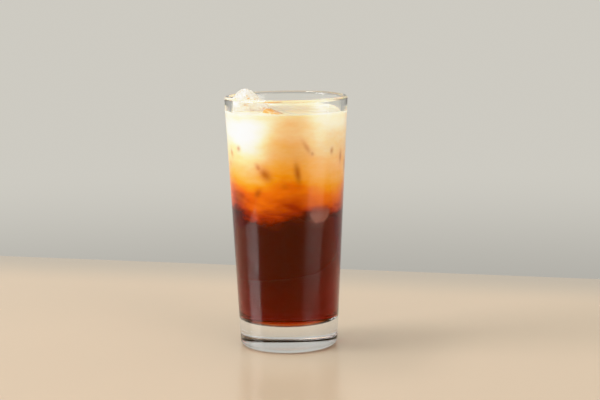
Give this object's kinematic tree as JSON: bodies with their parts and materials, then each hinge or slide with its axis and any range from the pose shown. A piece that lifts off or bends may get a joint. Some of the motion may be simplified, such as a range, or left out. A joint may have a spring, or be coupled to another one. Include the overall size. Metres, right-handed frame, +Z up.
{
  "type": "iced thai tea in a glass",
  "caption": "Tall clear glass of layered iced Thai tea: dark tea below, orange milk tea above it, pale cream on top with ice breaking the surface.",
  "frame": {"origin": "middle of the glass's foot, on the surface it stands on", "axes": "+Z up along the glass's axis, +Y away from the viewer of the reference view, +X to the viewer's right"},
  "size_m": [0.073, 0.073, 0.1535],
  "materials": {
    "clear_glass": "clear, polished, with a thick base",
    "dark_tea": "dark red-brown liquid, clear but deep",
    "orange_milk_tea": "cloudy orange liquid, shading from deep orange to amber",
    "pale_cream": "cloudy pale cream liquid, wet",
    "ice": "wet ice coated with cream"
  },
  "bodies": {
    "root": {"glass": "clear_glass", "tea": "dark_tea", "milk_tea": "orange_milk_tea", "cream": "pale_cream", "ice_left": "ice", "ice_centre": "ice"}
  },
  "joints": []
}
